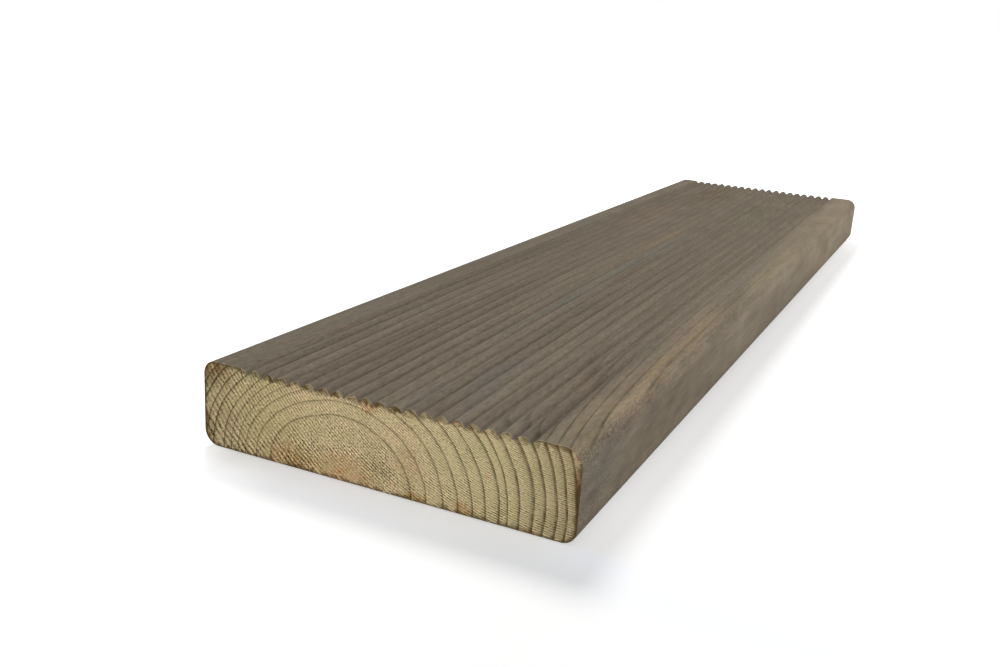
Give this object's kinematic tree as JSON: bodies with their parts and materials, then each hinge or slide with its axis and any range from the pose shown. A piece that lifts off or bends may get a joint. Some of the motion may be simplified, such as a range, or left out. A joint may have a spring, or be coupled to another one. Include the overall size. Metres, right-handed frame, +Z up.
{
  "type": "decking board",
  "caption": "Short length of reeded softwood decking board: a planed plank with rounded long edges, a grooved walking face between plain margins and square sawn ends.",
  "frame": {"origin": "middle of the flat underside, on the board's centre line", "axes": "+Y along the grain, +X across the width, +Z up out of the grooved walking face"},
  "size_m": [0.145, 0.6, 0.032],
  "materials": {
    "stained_softwood": "grey-brown pressure-treated softwood, matt, with pale sawn end grain"
  },
  "bodies": {
    "root": {"decking_board": "stained_softwood"}
  },
  "joints": []
}
